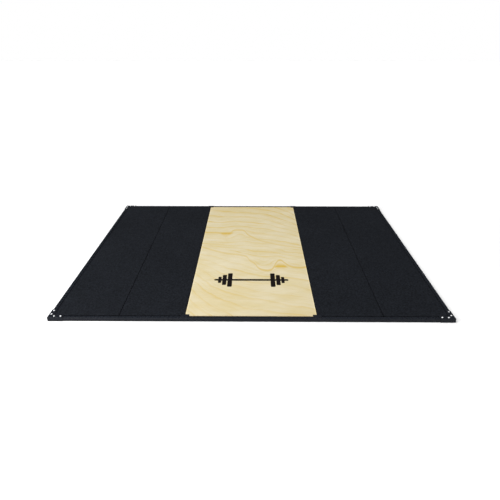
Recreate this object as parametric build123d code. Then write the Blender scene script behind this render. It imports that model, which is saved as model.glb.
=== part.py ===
from build123d import *
import os

# Weightlifting platform: a low frame of square steel tube holds a plywood standing panel between
# four rubber drop mats.  Pressed brackets bolt the frame's corners together, and short plates on the
# front and back tubes hold down the edges where the plywood meets the rubber.
#
# Millimetres.  The origin is on the floor under the platform's centre.  +X runs to the right, +Y to
# the back and +Z up.  Parts that repeat are modelled at the right or at the back, then mirrored.

# Bed: the flat area inside the frame
MAT_PITCH = 500.0  # nominal width of one rubber mat
PANEL_PITCH = 1000.0  # nominal width of the plywood panel
BED_DEPTH = 2400.0
BED_HEIGHT = 30.0  # mats, panel and frame all finish at this height
EDGE_GAP = 5.0  # between the frame and what lies inside it
MAT_SEAM = 4.0  # between two mats
PANEL_SEAM = 4.0  # between the panel and a mat, where the divider bar stands
MAT_ROUND = 0.8
PLYWOOD = 18.0
PLYWOOD_CHAMFER = 0.8

# Frame tube
TUBE_SIZE = BED_HEIGHT
TUBE_WALL = 2.0
TUBE_ROUND = 2.5

# Corner bracket: pressed from plate, with a top flange and two outer skirts
PLATE = 3.0
BRACKET_LEG = 115.0
BRACKET_WIDTH = 40.0
BRACKET_LIFT = 1.0  # the skirts stop this far above the floor
BRACKET_OUTER_ROUND = 2.5
BRACKET_INNER_ROUND = 3.0
BRACKET_END_ROUND = 6.0
BEND_ROUND = 1.5

# Corner insert: a solid L inside the tube ends, tapped for the corner bolts
INSERT_CLEARANCE = 0.5
INSERT_LEG = 108.0

# Corner bolts, M8 button head, in two rows along the middle of the bracket's legs
BOLT_STEPS = (48.0, 98.0)  # from the bracket's outer corner
BOLT_RADIUS = 4.0
BOLT_LENGTH = 25.0
BOLT_HEAD_RADIUS = 7.0
BOLT_HEAD_HEIGHT = 4.4
BOLT_HEAD_ROUND = 3.4
BOLT_SOCKET = 5.0
BOLT_SOCKET_DEPTH = 2.6
BOLT_HOLE_RADIUS = 4.5
THREAD_CLEARANCE = 0.05

# Seam plates and their M6 countersunk screws
SEAM_PLATE_WIDTH = 64.0
SEAM_PLATE_LIP = 20.0  # how far a plate reaches over the bed
SEAM_PLATE_SETBACK = 2.0  # from the tube's outer face
SEAM_PLATE_ROUND = 3.0
SEAM_PLATE_CHAMFER = 0.6
SCREW_SPREAD = 40.0
SCREW_RADIUS = 3.0
SCREW_HEAD_RADIUS = 6.0
SCREW_CLEARANCE = 0.2
SCREW_LENGTH = 14.0
SCREW_SOCKET = 4.0
SCREW_SOCKET_DEPTH = 1.8

# Divider bars: upright strips between the panel and the mats, located by a tenon at each end
DIVIDER_THICKNESS = 3.0
DIVIDER_HEIGHT = 28.0
TENON_LENGTH = 12.0
TENON_HEIGHT = 15.0
TENON_CLEARANCE = 0.5

# Derived places
BED_WIDTH = PANEL_PITCH + 4 * MAT_PITCH
FRAME_WIDTH = BED_WIDTH + 2 * TUBE_SIZE
FRAME_DEPTH = BED_DEPTH + 2 * TUBE_SIZE
SEAM_X = PANEL_PITCH / 2
TUBE_CENTRE_X = (FRAME_WIDTH - TUBE_SIZE) / 2
TUBE_CENTRE_Y = (FRAME_DEPTH - TUBE_SIZE) / 2
CORNER_X = FRAME_WIDTH / 2 + PLATE
CORNER_Y = FRAME_DEPTH / 2 + PLATE
BOLT_LINE = BRACKET_WIDTH / 2
PLATE_TOP = BED_HEIGHT + PLATE

SIDES = {"left": -1, "right": 1}
ENDS = {"front": -1, "back": 1}


def block(x_range, y_range, z_range):
    """Box between two limits on each axis."""
    size = [high - low for low, high in (x_range, y_range, z_range)]
    centre = [(low + high) / 2 for low, high in (x_range, y_range, z_range)]
    return Pos(*centre) * Box(*size)


def mirrored(shape, side, end):
    """Carry a shape from the back right quarter to the named side and end."""
    if side < 0:
        shape = mirror(shape, about=Plane.YZ)
    if end < 0:
        shape = mirror(shape, about=Plane.XZ)
    return shape


def upright_cylinder(x, y, radius, bottom, top):
    """Vertical cylinder between two heights."""
    return Pos(x, y, (bottom + top) / 2) * Cylinder(radius, top - bottom)


def bolt_places():
    """The four corner bolts of the back right corner, two on each leg."""
    along_side = [(CORNER_X - BOLT_LINE, CORNER_Y - step) for step in BOLT_STEPS]
    along_back = [(CORNER_X - step, CORNER_Y - BOLT_LINE) for step in BOLT_STEPS]
    return along_side + along_back


def screw_places():
    """The two screws of the back right seam plate."""
    return [(SEAM_X + offset, TUBE_CENTRE_Y) for offset in (-SCREW_SPREAD / 2, SCREW_SPREAD / 2)]


def mitred_tube(length):
    """Square tube along X, its long face towards +Y and both ends cut at 45 degrees."""
    inside = TUBE_SIZE - 2 * TUBE_WALL
    outline = RectangleRounded(TUBE_SIZE, TUBE_SIZE, TUBE_ROUND)
    bore = RectangleRounded(inside, inside, TUBE_ROUND - TUBE_WALL)
    tube = extrude(Plane.YZ * (outline - bore), amount=length / 2, both=True)
    half = TUBE_SIZE / 2
    long_end = length / 2
    short_end = long_end - TUBE_SIZE
    corners = ((-long_end, half), (long_end, half), (short_end, -half), (-short_end, -half))
    wedge = extrude(make_face(Polyline(*corners, close=True)), amount=half, both=True)
    return tube & wedge


def drill_top_wall(rail, places, radius):
    """Drill a rail's top wall at each place and at its mirror images."""
    for x, y in places:
        hole = upright_cylinder(x, y, radius, BED_HEIGHT / 2, PLATE_TOP)
        for side in SIDES.values():
            for end in ENDS.values():
                rail -= mirrored(hole, side, end)
    return rail


def back_rail():
    """Back tube with holes for the bolts and screws, and slots for the divider tenons."""
    rail = Pos(0, TUBE_CENTRE_Y, BED_HEIGHT / 2) * mitred_tube(FRAME_WIDTH)
    rail = drill_top_wall(rail, bolt_places(), BOLT_HOLE_RADIUS)
    rail = drill_top_wall(rail, screw_places(), SCREW_RADIUS + THREAD_CLEARANCE)
    slot_width = DIVIDER_THICKNESS + 2 * TENON_CLEARANCE
    slot_height = TENON_HEIGHT + 2 * TENON_CLEARANCE
    for side in SIDES.values():
        slot = Pos(side * SEAM_X, BED_DEPTH / 2, BED_HEIGHT / 2)
        rail -= slot * Box(slot_width, 3 * TUBE_WALL, slot_height)
    return rail


def right_rail():
    """Right-hand tube with holes for the corner bolts."""
    turn = Rot(0, 0, -90)
    rail = Pos(TUBE_CENTRE_X, 0, BED_HEIGHT / 2) * (turn * mitred_tube(FRAME_DEPTH))
    return drill_top_wall(rail, bolt_places(), BOLT_HOLE_RADIUS)


def corner_insert():
    """Solid L that slides into the two tube ends of a corner and takes the bolts' threads."""
    outset = TUBE_WALL + INSERT_CLEARANCE
    bar = TUBE_SIZE - 2 * outset
    x_outer = FRAME_WIDTH / 2 - outset
    y_outer = FRAME_DEPTH / 2 - outset
    heights = (outset, outset + bar)
    insert = block((x_outer - bar, x_outer), (y_outer - INSERT_LEG, y_outer), heights)
    insert += block((x_outer - INSERT_LEG, x_outer), (y_outer - bar, y_outer), heights)
    for x, y in bolt_places():
        insert -= upright_cylinder(x, y, BOLT_RADIUS + THREAD_CLEARANCE, 0, BED_HEIGHT)
    return insert


def corner_bracket():
    """L-shaped flange over both tubes, with skirts down their outer faces."""
    leg, width = BRACKET_LEG, BRACKET_WIDTH
    corners = ((0, 0), (-leg, 0), (-leg, -width), (-width, -width), (-width, -leg), (0, -leg))
    outline = make_face(Polyline(*corners, close=True))
    rounds = {
        (0, 0): BRACKET_OUTER_ROUND,
        (-width, -width): BRACKET_INNER_ROUND,
        (-leg, -width): BRACKET_END_ROUND,
        (-width, -leg): BRACKET_END_ROUND,
    }
    for place, radius in rounds.items():
        outline = fillet(outline.vertices().sort_by_distance(place)[0], radius)
    solid = extrude(outline, amount=PLATE_TOP - BRACKET_LIFT)
    top_edges = solid.faces().sort_by(Axis.Z)[-1].edges()
    bends = [edge for edge in top_edges if edge.center().X > -1 or edge.center().Y > -1]
    solid = fillet(bends, BEND_ROUND)
    solid = Pos(CORNER_X, CORNER_Y, BRACKET_LIFT) * solid
    solid -= block(
        (CORNER_X - 2 * leg, FRAME_WIDTH / 2), (CORNER_Y - 2 * leg, FRAME_DEPTH / 2), (0, BED_HEIGHT)
    )
    for x, y in bolt_places():
        solid -= upright_cylinder(x, y, BOLT_HOLE_RADIUS, BED_HEIGHT / 2, PLATE_TOP + PLATE)
    return solid


def hex_socket(width, depth):
    """Hexagonal recess that opens upwards at z = 0."""
    return extrude(RegularPolygon(width / 2, 6, major_radius=False), amount=-depth)


def button_bolt():
    """Button-head bolt standing with the underside of its head at z = 0."""
    head = Pos(0, 0, BOLT_HEAD_HEIGHT / 2) * Cylinder(BOLT_HEAD_RADIUS, BOLT_HEAD_HEIGHT)
    head = fillet(head.edges().sort_by(Axis.Z)[-1], BOLT_HEAD_ROUND)
    bolt = head + Pos(0, 0, -BOLT_LENGTH / 2) * Cylinder(BOLT_RADIUS, BOLT_LENGTH)
    return bolt - Pos(0, 0, BOLT_HEAD_HEIGHT) * hex_socket(BOLT_SOCKET, BOLT_SOCKET_DEPTH)


def countersunk_screw():
    """Countersunk screw standing with the top of its head at z = 0."""
    head_height = SCREW_HEAD_RADIUS - SCREW_RADIUS
    screw = Pos(0, 0, -head_height / 2) * Cone(SCREW_RADIUS, SCREW_HEAD_RADIUS, head_height)
    screw += Pos(0, 0, -SCREW_LENGTH / 2) * Cylinder(SCREW_RADIUS, SCREW_LENGTH)
    return screw - hex_socket(SCREW_SOCKET, SCREW_SOCKET_DEPTH)


def seam_plate():
    """Flat plate on the back tube whose lip holds down the panel and the mat beside it."""
    y_low = BED_DEPTH / 2 - SEAM_PLATE_LIP
    y_high = FRAME_DEPTH / 2 - SEAM_PLATE_SETBACK
    x_range = (SEAM_X - SEAM_PLATE_WIDTH / 2, SEAM_X + SEAM_PLATE_WIDTH / 2)
    plate = block(x_range, (y_low, y_high), (BED_HEIGHT, PLATE_TOP))
    plate = fillet(plate.edges().filter_by(Axis.Z), SEAM_PLATE_ROUND)
    plate = chamfer(plate.faces().sort_by(Axis.Z)[-1].edges(), SEAM_PLATE_CHAMFER)
    for x, y in screw_places():
        radius = SCREW_RADIUS + SCREW_CLEARANCE
        sink = Cone(radius, SCREW_HEAD_RADIUS + SCREW_CLEARANCE, PLATE)
        plate -= Pos(x, y, BED_HEIGHT + PLATE / 2) * sink
    return plate


def divider_bar():
    """Upright strip between the panel and the inner right mat, with a tenon at each end."""
    half = DIVIDER_THICKNESS / 2
    x_range = (SEAM_X - half, SEAM_X + half)
    reach = BED_DEPTH / 2 - TENON_CLEARANCE
    middle = BED_HEIGHT / 2
    bar = block(x_range, (-reach, reach), (0, DIVIDER_HEIGHT))
    tenon_reach = BED_DEPTH / 2 + TENON_LENGTH
    tenon_heights = (middle - TENON_HEIGHT / 2, middle + TENON_HEIGHT / 2)
    return bar + block(x_range, (-tenon_reach, tenon_reach), tenon_heights)


def rubber_mat(x_low, x_high):
    """One drop mat, full depth, with its upper and upright edges rounded."""
    reach = BED_DEPTH / 2 - EDGE_GAP
    mat = block((x_low, x_high), (-reach, reach), (0, BED_HEIGHT))
    mat = fillet(mat.edges().filter_by(Axis.Z), MAT_ROUND)
    return fillet(mat.faces().sort_by(Axis.Z)[-1].edges(), MAT_ROUND)


def panel_layer(z_low, z_high):
    """One full layer of the standing area, the rubber underlay or the plywood."""
    half_width = (PANEL_PITCH - PANEL_SEAM) / 2
    reach = BED_DEPTH / 2 - EDGE_GAP
    return block((-half_width, half_width), (-reach, reach), (z_low, z_high))


def wood_panel():
    """Plywood standing panel with a small chamfer round its top."""
    panel = panel_layer(BED_HEIGHT - PLYWOOD, BED_HEIGHT)
    return chamfer(panel.faces().sort_by(Axis.Z)[-1].edges(), PLYWOOD_CHAMFER)


def group(shape, places, height):
    """Identical fasteners as separate solids, one at each place."""
    return Compound(children=[Pos(x, y, height) * shape for x, y in places])


def build_parts():
    """Every sub-part of the platform by name."""
    mat_edges = {
        "inner": (SEAM_X + PANEL_SEAM / 2, SEAM_X + MAT_PITCH - MAT_SEAM / 2),
        "outer": (SEAM_X + MAT_PITCH + MAT_SEAM / 2, BED_WIDTH / 2 - EDGE_GAP),
    }
    parts = {
        "panel_underlay": panel_layer(0, BED_HEIGHT - PLYWOOD),
        "wood_panel": wood_panel(),
    }
    quarter_parts = {
        "corner_bracket": corner_bracket(),
        "corner_insert": corner_insert(),
        "corner_bolts": group(button_bolt(), bolt_places(), PLATE_TOP),
        "seam_plate": seam_plate(),
        "seam_screws": group(countersunk_screw(), screw_places(), PLATE_TOP),
    }
    for end_name, end in ENDS.items():
        parts[f"{end_name}_rail"] = mirrored(back_rail(), 1, end)
    for side_name, side in SIDES.items():
        parts[f"{side_name}_rail"] = mirrored(right_rail(), side, 1)
        parts[f"{side_name}_divider_bar"] = mirrored(divider_bar(), side, 1)
        for place, edges in mat_edges.items():
            parts[f"{side_name}_{place}_mat"] = mirrored(rubber_mat(*edges), side, 1)
        for end_name, end in ENDS.items():
            for part_name, shape in quarter_parts.items():
                parts[f"{end_name}_{side_name}_{part_name}"] = mirrored(shape, side, end)
    return parts


os.makedirs("parts", exist_ok=True)
for node, shape in build_parts().items():
    export_step(shape, f"parts/{node}.step")
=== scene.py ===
import math

import bmesh
import bpy
from mathutils import Euler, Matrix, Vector


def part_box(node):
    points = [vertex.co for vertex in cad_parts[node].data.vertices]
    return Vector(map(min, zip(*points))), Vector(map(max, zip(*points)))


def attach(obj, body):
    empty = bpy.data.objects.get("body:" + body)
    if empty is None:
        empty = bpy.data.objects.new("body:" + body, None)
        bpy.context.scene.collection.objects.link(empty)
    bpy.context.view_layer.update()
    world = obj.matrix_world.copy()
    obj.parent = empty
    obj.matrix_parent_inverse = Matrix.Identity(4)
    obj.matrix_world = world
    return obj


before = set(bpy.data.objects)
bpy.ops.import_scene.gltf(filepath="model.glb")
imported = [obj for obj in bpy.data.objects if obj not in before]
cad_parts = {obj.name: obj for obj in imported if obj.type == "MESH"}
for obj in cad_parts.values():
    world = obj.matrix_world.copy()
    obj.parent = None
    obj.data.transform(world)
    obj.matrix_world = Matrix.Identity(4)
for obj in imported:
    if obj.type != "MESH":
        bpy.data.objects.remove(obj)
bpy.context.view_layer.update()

# A weightlifting platform: black tube frame, rubber drop mats and a birch plywood standing panel.
# Metres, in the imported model's own frame: +X right, +Y back, +Z up, origin on the floor in the middle.

PANEL_LOW, PANEL_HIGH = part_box("wood_panel")
PANEL_WIDTH = PANEL_HIGH[0] - PANEL_LOW[0]
PANEL_DEPTH = PANEL_HIGH[1] - PANEL_LOW[1]
PANEL_THICKNESS = PANEL_HIGH[2] - PANEL_LOW[2]
BED_TOP = PANEL_HIGH[2]

# Camera: where the eye is, how it is turned, and the lens in millimetres
EYE = (0.0132, -4.1906, 1.9941)
LOOK_DOWN = math.radians(25.261)
LOOK_LEFT = math.radians(0.401)
SENSOR = 36.0
LENS = 33.802

# Studio: a wide floor, two lights aimed at the origin, and the sky's glow by how steeply a ray rises
FLOOR_SIZE = 60.0
OVERHEAD_PLACE = (-2.6, -1.0, 4.5)
OVERHEAD_STRENGTH = 2.4
OVERHEAD_SPREAD = math.radians(50.0)
SOFTBOX_PLACE = (-3.6, -3.4, 2.6)
SOFTBOX_POWER = 190.0
SOFTBOX_WIDTH = 2.2
SKY_GLOW = {"From Min": 0.30, "From Max": 0.95, "To Min": 0.05, "To Max": 0.78}

# Colours of the finishes, in linear light
RUBBER = (0.0075, 0.0087, 0.0113)
RUBBER_DUST = (0.020, 0.022, 0.027)
UNDERLAY = (0.012, 0.012, 0.013)
COATING = (0.0054, 0.0069, 0.0106)
# Brighter colour along the coat's edges: partly steel rubbed through, partly a painted highlight
BARE_EDGE_AND_HIGHLIGHT = (0.030, 0.032, 0.037)
BIRCH_LIGHT = (0.565, 0.502, 0.345)
BIRCH_MIDDLE = (0.530, 0.452, 0.262)
BIRCH_DARK = (0.490, 0.325, 0.038)
VENEER_ACROSS = (0.50, 0.36, 0.18)
VENEER_ALONG = (0.62, 0.51, 0.31)
GLUE_LINE = (0.16, 0.09, 0.04)
ZINC = (0.93, 0.94, 0.95)
STEEL = (0.42, 0.42, 0.43)
INK = (0.0050, 0.0038, 0.0036)
INK_RUBBED = (0.04, 0.03, 0.02)
FLOOR_TONE = (0.83, 0.83, 0.83)

# Sizes that finishes share
MAT_GRANULE = 0.003
UNDERLAY_GRANULE = 0.002
VENEERS = 13

# Growth rings: how many to a metre of grain height, the extra ones that crowd about the middle and
# how far they reach, and the thin lines to each ring
RINGS_PER_METRE = 6.5
CROWDED_RINGS = 1.1
CROWD_REACH = 0.15
THIN_LINES = 2.3
# Where the rings swirl: across and back from the panel's centre in metres, how wide and how deep the
# swirl is, and how far it pushes the rings, forwards if positive
SWIRLS = (
    (-0.27, 0.33, 0.050, 0.090, 0.070),
    (-0.13, 0.40, 0.065, 0.100, -0.085),
    (0.12, -0.37, 0.070, 0.110, 0.095),
    (0.27, -0.31, 0.050, 0.090, -0.085),
)
# Two long rings that fold: points across and back, then how dark the ring is left and right of middle
FOLDED_RINGS = (
    (
        ((-0.50, 0.41), (-0.38, 0.40), (-0.23, 0.39), (-0.20, 0.46), (-0.14, 0.475), (-0.085, 0.46),
         (-0.045, 0.36), (0.02, 0.27), (0.12, 0.18), (0.50, 0.02)),
        0.62, 0.34,
    ),
    (
        ((-0.50, 0.05), (-0.37, -0.04), (-0.23, -0.11), (-0.10, -0.145), (-0.045, -0.18),
         (-0.02, -0.25), (0.03, -0.32), (0.065, -0.41), (0.10, -0.445), (0.17, -0.45), (0.20, -0.40),
         (0.23, -0.30), (0.267, -0.25), (0.305, -0.30), (0.35, -0.37), (0.43, -0.40), (0.50, -0.385)),
        0.38, 0.62,
    ),
)
# How far those points may spread front to back, about the panel's centre
FOLD_SPAN = 1.2
# The honey-coloured wedge in each fold: across, back at its base and at its tip, half its base's width
WEDGES = (
    (-0.270, 0.402, 0.262, 0.078),
    (0.267, -0.392, -0.250, 0.066),
)

# Printed barbell: its place as a share of the panel's depth, then shaft and plates. A plate is how far
# out it is, how wide and how tall. The plates' ink is thicker, so that they print over the shaft.
SIGN_PLACE = 0.235
SHAFT_SIZE = (0.64, 0.030)
SHAFT_ROUNDING = 0.012
SHAFT_FILM = 0.00018
PLATES = ((0.185, 0.040, 0.240), (0.232, 0.036, 0.180), (0.272, 0.028, 0.110))
PLATE_ROUNDING = 0.010
PLATE_FILM = 0.00025
CORNER_STEPS = 6


class Look:
    """A node material under construction, with short calls for the nodes that finishes share."""

    def __init__(self, name):
        self.material = bpy.data.materials.new(name)
        self.material.use_nodes = True
        self.tree = self.material.node_tree
        self.shader = self.tree.nodes["Principled BSDF"]
        self.place = self.node("ShaderNodeTexCoord").outputs["Object"]

    def node(self, kind, settings=None, **inputs):
        """Add a node, set its properties, and fill its inputs: by name, or by number as _0, _1."""
        made = self.tree.nodes.new(kind)
        for key, value in (settings or {}).items():
            setattr(made, key, value)
        for key, value in inputs.items():
            self.feed(made.inputs[int(key[1:]) if key[1:].isdigit() else key], value)
        return made

    def feed(self, socket, value):
        """Link a socket to another, or set its value."""
        if isinstance(value, bpy.types.NodeSocket):
            self.tree.links.new(value, socket)
        else:
            socket.default_value = value

    def math(self, operation, first, second=0.0):
        """Any operation on one or two values."""
        return self.node("ShaderNodeMath", {"operation": operation}, _0=first, _1=second).outputs[0]

    def plus(self, first, second):
        return self.math("ADD", first, second)

    def minus(self, first, second):
        return self.math("SUBTRACT", first, second)

    def times(self, first, *others):
        for other in others:
            first = self.math("MULTIPLY", first, other)
        return first

    def stretch(self, scale):
        """The object's coordinates, scaled along each axis."""
        return self.node("ShaderNodeMapping", Vector=self.place, Scale=scale).outputs[0]

    def noise(self, place, scale, detail=2.0, roughness=0.5):
        """Soft noise from 0 to 1: scale is its features to a unit of place."""
        made = self.node(
            "ShaderNodeTexNoise",
            Vector=place,
            Scale=scale,
            Detail=detail,
            Roughness=roughness,
        )
        return made.outputs["Fac"]

    def ramp(self, value, low, high, low_to=0.0, high_to=1.0):
        """Map a value's range, low to high, to another, clamped, with soft ends."""
        made = self.node("ShaderNodeMapRange", {"interpolation_type": "SMOOTHSTEP"}, Value=value)
        limits = {"From Min": low, "From Max": high, "To Min": low_to, "To Max": high_to}
        for key, limit in limits.items():
            self.feed(made.inputs[key], limit)
        return made.outputs["Result"]

    def mix(self, factor, first, second):
        """Mix two colours, each a colour tuple or a socket."""
        made = self.tree.nodes.new("ShaderNodeMix")
        made.data_type = "RGBA"
        self.feed(made.inputs["Factor"], factor)
        for socket, colour in ((made.inputs[6], first), (made.inputs[7], second)):
            self.feed(socket, (*colour, 1.0) if isinstance(colour, tuple) else colour)
        return made.outputs[2]

    def brighten(self, colour, factor):
        """Multiply a colour by a single value."""
        made = self.node("ShaderNodeVectorMath", {"operation": "SCALE"}, Scale=factor)
        self.feed(made.inputs[0], colour)
        return made.outputs[0]

    def curve(self, value, points):
        """Follow a smooth curve through points, whose x and y must lie between 0 and 1."""
        made = self.node("ShaderNodeFloatCurve", Value=value)
        line = made.mapping.curves[0]
        for x, y in points[1:-1]:
            line.points.new(x, y)
        for point, place in zip(line.points, points):
            point.location = place
        made.mapping.update()
        return made.outputs["Value"]

    def bump(self, height, strength, distance, under=None):
        """A normal roughened by a height, over another bump if one is under it."""
        made = self.node("ShaderNodeBump", Height=height, Strength=strength, Distance=distance)
        if under is not None:
            self.feed(made.inputs["Normal"], under)
        return made.outputs["Normal"]

    def edge_wear_and_highlight(self, radius, low, high):
        """How much the coating is brightened, partly rubbed through and partly a painted highlight: near
        1 along sharp edges and 0 on flat faces.

        It is 1 where the rounded and the true normal match by low or less, and 0 from high on.
        """
        rounded = self.node("ShaderNodeBevel", {"samples": 4}, Radius=radius).outputs["Normal"]
        true = self.node("ShaderNodeNewGeometry").outputs["Normal"]
        match = self.node("ShaderNodeVectorMath", {"operation": "DOT_PRODUCT"}, _0=rounded, _1=true)
        return self.ramp(match.outputs["Value"], high, low)

    def painted_gap_shade(self, reach, darkest):
        """Painted shade: how much light a colour keeps, less in gaps, steps and corners narrower than
        reach, from ambient occlusion.
        """
        made = self.node("ShaderNodeAmbientOcclusion", {"samples": 6}, Distance=reach)
        return self.ramp(made.outputs["AO"], 0.50, 0.97, darkest, 1.0)

    def finish(self, **sockets):
        """Fill the shader's sockets, named with _ for a space, and hand over the material."""
        for key, value in sockets.items():
            self.feed(self.shader.inputs[key.replace("_", " ")], value)
        return self.material


def rubber(name, colour, dust, granule):
    """Pressed rubber granulate: matt, speckled, with clumps, a slow change of tone, some dust and
    painted shade in its gaps.
    """
    look = Look(name)
    granules = look.node("ShaderNodeTexVoronoi", Vector=look.place, Scale=1.0 / granule)
    tone = look.node("ShaderNodeSeparateColor", Color=granules.outputs["Color"]).outputs["Red"]
    fleck = look.ramp(tone, 0.0, 1.0, 0.72, 1.30)
    clump = look.ramp(look.noise(look.place, 0.21 / granule, 3.0, 0.7), 0.34, 0.66, 0.44, 1.56)
    broad = look.ramp(look.noise(look.place, 1.7, 4.0), 0.25, 0.75, 0.92, 1.08)
    tinted = look.brighten(colour, look.times(fleck, clump, broad))
    scuffs = look.noise(look.stretch((3.0, 5.0, 3.0)), 2.2, 7.0, 0.68)
    body = look.mix(look.ramp(scuffs, 0.52, 0.80, 0.0, 0.28), tinted, dust)
    # Painted shade: darker in gaps, at steps and in corners, from ambient occlusion
    body = look.brighten(body, look.painted_gap_shade(0.012, 0.15))
    grit = look.noise(look.place, 2.6 / granule, 3.0, 0.6)
    rough = look.ramp(look.noise(look.place, 24.0, 3.0), 0.3, 0.7, 0.80, 0.94)
    normal = look.bump(granules.outputs["Distance"], 0.35, 0.0006)
    normal = look.bump(grit, 0.25, 0.0004, normal)
    return look.finish(Base_Color=body, Roughness=rough, Normal=normal, Specular_IOR_Level=0.06)


def powder_coat(name, colour, bare_and_highlight):
    """Satin powder coat over steel, with orange peel, edges a little brighter, partly from rubbing and
    partly a painted highlight, and painted shade in gaps.
    """
    look = Look(name)
    peel = look.noise(look.place, 420.0)
    cloud = look.ramp(look.noise(look.place, 5.0, 4.0), 0.3, 0.7, 0.88, 1.14)
    patchy = look.ramp(look.noise(look.place, 38.0, 4.0, 0.65), 0.38, 0.60)
    # Partly wear, partly a painted highlight: rounded edges made brighter, in patches
    worn = look.times(look.edge_wear_and_highlight(0.0045, 0.92, 0.995), patchy, 0.6)
    body = look.mix(worn, look.brighten(colour, cloud), bare_and_highlight)
    # Painted shade: darker in gaps, at steps and where the coat meets the floor, from ambient occlusion
    body = look.brighten(body, look.painted_gap_shade(0.011, 0.10))
    rough = look.ramp(look.noise(look.place, 60.0, 3.0), 0.3, 0.7, 0.24, 0.36)
    normal = look.bump(peel, 0.12, 0.0004)
    return look.finish(Base_Color=body, Roughness=rough, Normal=normal, Specular_IOR_Level=0.14)


def plated(name, colour, rough_low, rough_high):
    """Plated or plain steel, metallic, with a faint cloud and turning marks."""
    look = Look(name)
    cloud = look.noise(look.place, 120.0, 3.0)
    marks = look.noise(look.stretch((1.0, 1.0, 9.0)), 900.0)
    body = look.brighten(colour, look.ramp(cloud, 0.3, 0.7, 0.90, 1.05))
    rough = look.ramp(look.noise(look.place, 300.0, 3.0), 0.3, 0.7, rough_low, rough_high)
    normal = look.bump(marks, 0.10, 0.0002)
    return look.finish(Base_Color=body, Roughness=rough, Normal=normal, Metallic=1.0)


def hill(look, across, back, peak_across, peak_back, width, depth):
    """Bell-shaped hill, 1 at its top."""
    x = look.math("DIVIDE", look.minus(across, peak_across), width)
    y = look.math("DIVIDE", look.minus(back, peak_back), depth)
    reach = look.plus(look.times(x, x), look.times(y, y))
    return look.math("POWER", math.e, look.times(reach, -0.5))


def grain_height(look, across, back):
    """A height over the panel whose level lines are the growth rings, running left to right.

    The rings arch down to the right at the back and rise to the left at the front, and swirl.
    """
    right = look.math("POWER", look.math("MAXIMUM", across, 0.0), 2.0)
    left = look.math("POWER", look.math("MAXIMUM", look.times(across, -1.0), 0.0), 2.0)
    height = look.plus(back, look.times(across, look.ramp(back, 0.0, 0.5, 0.20, 0.07)))
    height = look.plus(height, look.times(right, look.ramp(back, -0.1, 0.8, 0.2, 1.5)))
    height = look.minus(height, look.times(left, look.ramp(back, -0.7, 0.2, 1.5, 0.0)))
    drift = look.noise(look.stretch((1.3, 0.9, 1.0)), 1.5, 1.0, 0.4)
    wave = look.noise(look.stretch((2.2, 2.6, 1.0)), 1.9)
    tremble = look.noise(look.stretch((7.0, 10.0, 1.0)), 1.7)
    for source, size in ((drift, 0.20), (wave, 0.10), (tremble, 0.016)):
        height = look.plus(height, look.times(look.minus(source, 0.5), size))
    for *place_and_size, push in SWIRLS:
        height = look.plus(height, look.times(hill(look, across, back, *place_and_size), push))
    return height


def late_wood(look, count, sharpness, end):
    """Lines up to each whole number of count, which darken slowly and end sharply."""
    phase = look.math("FRACT", count)
    return look.times(look.math("POWER", phase, sharpness), look.ramp(phase, end, 1.0, 1.0, 0.0))


def ring_lines(look, across, back):
    """How honey-coloured the rings make the wood: lines of uneven strength, paler at the front."""
    height = grain_height(look, across, back)
    crowd = look.math("TANH", look.math("DIVIDE", height, CROWD_REACH))
    count = look.plus(look.times(height, RINGS_PER_METRE), look.times(crowd, CROWDED_RINGS))
    line = late_wood(look, look.plus(count, 0.28), 7.0, 0.965)
    vary = look.ramp(look.noise(look.stretch((0.8, 3.0, 1.0)), 2.3), 0.36, 0.64, 0.30, 0.92)
    thin = late_wood(look, look.times(count, THIN_LINES), 6.0, 0.94)
    fade = look.ramp(look.noise(look.stretch((1.2, 4.0, 1.0)), 1.9, 1.0), 0.40, 0.62, 0.05, 0.42)
    both = look.plus(look.times(line, vary), look.times(thin, fade))
    return look.times(both, look.ramp(back, -1.1, 1.0, 0.60, 1.12))


def folded_ring(look, across, back, points, left_strength, right_strength):
    """One long ring that folds: how honey-coloured it is, and how near a place is to it.

    A curve node works from 0 to 1, so the panel's middle is at 0.5 in it, both ways.
    """
    shares = [(x + 0.5, y / FOLD_SPAN + 0.5) for x, y in points]
    share = look.curve(look.plus(across, 0.5), shares)
    way = look.times(look.minus(share, 0.5), FOLD_SPAN)
    off = look.math("ABSOLUTE", look.minus(back, way))
    strength = look.ramp(across, -0.10, 0.15, left_strength, right_strength)
    colour = look.times(look.ramp(off, 0.004, 0.030, 1.0, 0.0), strength)
    near = look.ramp(off, 0.02, 0.06, 1.0, 0.0)
    return colour, near


def wedge(look, across, back, middle, base, tip, half):
    """The honey-coloured wood inside a fold: a wedge that is darkest along its base."""
    along = look.math("DIVIDE", look.minus(back, tip), base - tip)
    aside = look.math("ABSOLUTE", look.minus(across, middle))
    inside = look.minus(look.times(along, half), aside)
    body = look.times(look.ramp(inside, -0.018, 0.026), look.ramp(along, 0.94, 1.14, 1.0, 0.0))
    layers = look.ramp(look.noise(look.stretch((5.0, 60.0, 1.0)), 1.0, 3.0), 0.34, 0.62, 0.82, 1.0)
    return look.times(body, layers, look.ramp(along, 0.35, 0.95, 0.24, 1.0))


def honey(look, across, back):
    """All the honey-coloured markings together, from 0 to 1. Rings stay clear of the folded ones."""
    marks = ring_lines(look, across, back)
    for points, left_strength, right_strength in FOLDED_RINGS:
        ring, near = folded_ring(look, across, back, points, left_strength, right_strength)
        clear = look.minus(1.0, look.times(near, 0.85))
        marks = look.math("MAXIMUM", look.times(marks, clear), ring)
    for place in WEDGES:
        marks = look.math("MAXIMUM", marks, wedge(look, across, back, *place))
    return look.math("MINIMUM", marks, 1.0)


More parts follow.
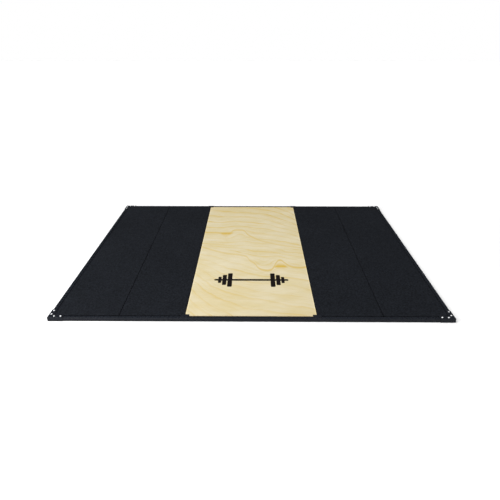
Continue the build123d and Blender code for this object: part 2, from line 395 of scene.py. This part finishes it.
def ply_edge(look, up):
    """Colour of the cut edge: veneers along and across the grain in turn, with glue lines."""
    veneer = look.times(look.minus(up, PANEL_LOW[2]), VENEERS / PANEL_THICKNESS)
    odd = look.math("GREATER_THAN", look.math("FRACT", look.times(veneer, 0.5)), 0.5)
    colour = look.mix(odd, VENEER_ACROSS, VENEER_ALONG)
    return look.mix(look.math("LESS_THAN", look.math("FRACT", veneer), 0.10), colour, GLUE_LINE)


def wood_fibres(look):
    """Fine fibres that run across the panel."""
    return look.noise(look.stretch((9.0, 300.0, 1.0)), 1.0, 4.0, 0.65)


def birch(name):
    """Rotary-cut birch: pale, with thin honey-coloured ring lines, fine fibres and satin lacquer."""
    look = Look(name)
    across, back, up = look.node("ShaderNodeSeparateXYZ", Vector=look.place).outputs
    fibre = wood_fibres(look)
    flame = look.noise(look.stretch((1.6, 4.0, 1.0)), 1.6, 4.0, 0.6)
    ground = look.mix(look.ramp(flame, 0.32, 0.68), BIRCH_LIGHT, BIRCH_MIDDLE)
    ground = look.brighten(ground, look.ramp(fibre, 0.25, 0.75, 0.93, 1.07))
    # A little deeper in colour towards the sheet's back and front ends, and paler within a centimetre of
    # its left and right sides
    ground = look.mix(look.ramp(back, 0.95, 1.19, 0.0, 0.17), ground, BIRCH_DARK)
    ground = look.mix(look.ramp(back, -1.19, -0.45, 0.07, 0.0), ground, BIRCH_DARK)
    face = look.mix(honey(look, across, back), ground, BIRCH_DARK)
    # Painted shade: a little darker towards the front edge, where the softbox lights the panel most
    face = look.brighten(face, look.ramp(back, -1.2, -0.3, 0.965, 1.0))
    inset = look.minus(PANEL_WIDTH / 2, look.math("ABSOLUTE", across))
    face = look.brighten(face, look.ramp(inset, 0.004, 0.010, 1.18, 1.0))
    # Faces that look up show the sheet's face, and upright ones its plies
    true = look.node("ShaderNodeNewGeometry").outputs["Normal"]
    upward = look.node("ShaderNodeSeparateXYZ", Vector=true).outputs["Z"]
    body = look.mix(look.ramp(upward, 0.55, 0.85), ply_edge(look, up), face)
    rough = look.ramp(look.noise(look.stretch((6.0, 30.0, 6.0)), 3.0, 4.0), 0.3, 0.7, 0.42, 0.56)
    normal = look.bump(fibre, 0.10, 0.0003)
    return look.finish(Base_Color=body, Roughness=rough, Normal=normal, Specular_IOR_Level=0.25)


def ink(name):
    """Screen-printed black, thin enough for the wood's fibres to show and a little worn."""
    look = Look(name)
    fibre = wood_fibres(look)
    wear = look.noise(look.stretch((30.0, 90.0, 30.0)), 2.0, 5.0, 0.7)
    printed = look.brighten(INK, look.ramp(fibre, 0.2, 0.8, 0.8, 1.5))
    body = look.mix(look.ramp(wear, 0.66, 0.80, 0.0, 0.5), printed, INK_RUBBED)
    rough = look.ramp(fibre, 0.2, 0.8, 0.6, 0.75)
    normal = look.bump(fibre, 0.08, 0.0003)
    return look.finish(Base_Color=body, Roughness=rough, Normal=normal, Specular_IOR_Level=0.06)


def pale_floor(name):
    """Plain white studio floor, barely mottled, with painted light: a little lighter away from the
    platform, where the lamps give less.
    """
    look = Look(name)
    mottle = look.ramp(look.noise(look.place, 2.0, 3.0), 0.3, 0.7, 0.99, 1.0)
    away = look.node("ShaderNodeVectorMath", {"operation": "LENGTH"}, _0=look.place).outputs["Value"]
    tone = look.brighten(look.brighten(FLOOR_TONE, mottle), look.ramp(away, 2.0, 5.0, 1.0, 1.15))
    return look.finish(Base_Color=tone, Roughness=0.9, Specular_IOR_Level=0.1)


def dress(obj, material):
    """Give an object one material."""
    obj.data.materials.clear()
    obj.data.materials.append(material)


def dress_nodes():
    """Give every CAD node its finish, by how its name ends."""
    coat = powder_coat("powder_coat", COATING, BARE_EDGE_AND_HIGHLIGHT)
    finishes = {
        "_rail": coat,
        "_corner_bracket": coat,
        "_seam_plate": coat,
        "_seam_screws": powder_coat("black_oxide", INK, BARE_EDGE_AND_HIGHLIGHT),
        "_divider_bar": powder_coat("divider_paint", INK, BARE_EDGE_AND_HIGHLIGHT),
        "_mat": rubber("drop_rubber", RUBBER, RUBBER_DUST, MAT_GRANULE),
        "panel_underlay": rubber("underlay_rubber", UNDERLAY, UNDERLAY, UNDERLAY_GRANULE),
        "_corner_bolts": plated("zinc_plate", ZINC, 0.44, 0.58),
        "_corner_insert": plated("bar_steel", STEEL, 0.35, 0.55),
        "wood_panel": birch("birch_plywood"),
    }
    for node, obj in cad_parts.items():
        ending = next(key for key in finishes if node.endswith(key))
        dress(obj, finishes[ending])


def rounded_outline(centre, size, rounding):
    """Points of a rounded rectangle, anticlockwise."""
    points = []
    for quarter, (right, up) in enumerate(((1, 1), (-1, 1), (-1, -1), (1, -1))):
        corner_x = centre[0] + right * (size[0] / 2 - rounding)
        corner_y = centre[1] + up * (size[1] / 2 - rounding)
        for step in range(CORNER_STEPS + 1):
            angle = math.radians(90.0 * (quarter + step / CORNER_STEPS))
            x = corner_x + rounding * math.cos(angle)
            y = corner_y + rounding * math.sin(angle)
            points.append((x, y))
    return points


def film_prism(mesh, points, film):
    """A closed film of ink on the panel over an outline."""
    base = [mesh.verts.new((x, y, BED_TOP)) for x, y in points]
    top = [mesh.verts.new((x, y, BED_TOP + film)) for x, y in points]
    mesh.faces.new(top)
    mesh.faces.new(base[::-1])
    for here in range(len(points)):
        after = (here + 1) % len(points)
        mesh.faces.new((base[here], base[after], top[after], top[here]))


def printed_barbell():
    """A plain barbell sign printed near the panel's front edge: the shaft, then its plates over it."""
    centre_y = PANEL_LOW[1] + SIGN_PLACE * PANEL_DEPTH
    mesh = bmesh.new()
    film_prism(mesh, rounded_outline((0.0, centre_y), SHAFT_SIZE, SHAFT_ROUNDING), SHAFT_FILM)
    for side in (-1, 1):
        for out, *size in PLATES:
            outline = rounded_outline((side * out, centre_y), size, PLATE_ROUNDING)
            film_prism(mesh, outline, PLATE_FILM)
    data = bpy.data.meshes.new("printed_barbell")
    mesh.to_mesh(data)
    mesh.free()
    sign = bpy.data.objects.new("printed_barbell", data)
    bpy.context.scene.collection.objects.link(sign)
    dress(sign, ink("print_ink"))
    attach(sign, "root")


def studio():
    """White floor, white surroundings, a broad light overhead and a softbox at the front left."""
    bpy.ops.mesh.primitive_plane_add(size=FLOOR_SIZE, location=(0.0, 0.0, 0.0))
    floor = bpy.context.object
    floor.name = "studio_floor"
    dress(floor, pale_floor("floor_white"))
    surroundings()
    overhead = bpy.data.lights.new("overhead", "SUN")
    overhead.energy = OVERHEAD_STRENGTH
    overhead.angle = OVERHEAD_SPREAD
    softbox = bpy.data.lights.new("softbox", "AREA")
    softbox.shape = "DISK"
    softbox.size = SOFTBOX_WIDTH
    softbox.energy = SOFTBOX_POWER
    for lamp, place in ((overhead, OVERHEAD_PLACE), (softbox, SOFTBOX_PLACE)):
        holder = bpy.data.objects.new(lamp.name, lamp)
        holder.location = place
        holder.rotation_euler = (-Vector(place)).to_track_quat("-Z", "Y").to_euler()
        bpy.context.scene.collection.objects.link(holder)


def surroundings():
    """World light: white to look at, and as light a soft glow that is strongest from straight above."""
    world = bpy.data.worlds.new("studio_white")
    bpy.context.scene.world = world
    world.use_nodes = True
    tree = world.node_tree
    direction = tree.nodes.new("ShaderNodeTexCoord").outputs["Generated"]
    axes = tree.nodes.new("ShaderNodeSeparateXYZ")
    tree.links.new(direction, axes.inputs[0])
    glow = tree.nodes.new("ShaderNodeMapRange")
    glow.interpolation_type = "SMOOTHSTEP"
    for key, value in SKY_GLOW.items():
        glow.inputs[key].default_value = value
    tree.links.new(axes.outputs["Z"], glow.inputs["Value"])
    seen = tree.nodes.new("ShaderNodeLightPath").outputs["Is Camera Ray"]
    strength = tree.nodes.new("ShaderNodeMapRange")
    tree.links.new(seen, strength.inputs["Value"])
    tree.links.new(glow.outputs["Result"], strength.inputs["To Min"])
    strength.inputs["To Max"].default_value = 1.0
    sky = tree.nodes["Background"]
    tree.links.new(strength.outputs["Result"], sky.inputs["Strength"])
    sky.inputs["Color"].default_value = (1.0, 1.0, 1.0, 1.0)


def photographer():
    """The camera, in front of the platform and above it."""
    data = bpy.data.cameras.new("camera")
    data.sensor_width = SENSOR
    data.lens = LENS
    camera = bpy.data.objects.new("camera", data)
    camera.location = EYE
    camera.rotation_euler = Euler((math.pi / 2 - LOOK_DOWN, 0.0, LOOK_LEFT))
    bpy.context.scene.collection.objects.link(camera)
    bpy.context.scene.camera = camera
    bpy.context.scene.view_settings.view_transform = "Standard"


dress_nodes()
printed_barbell()
studio()
photographer()
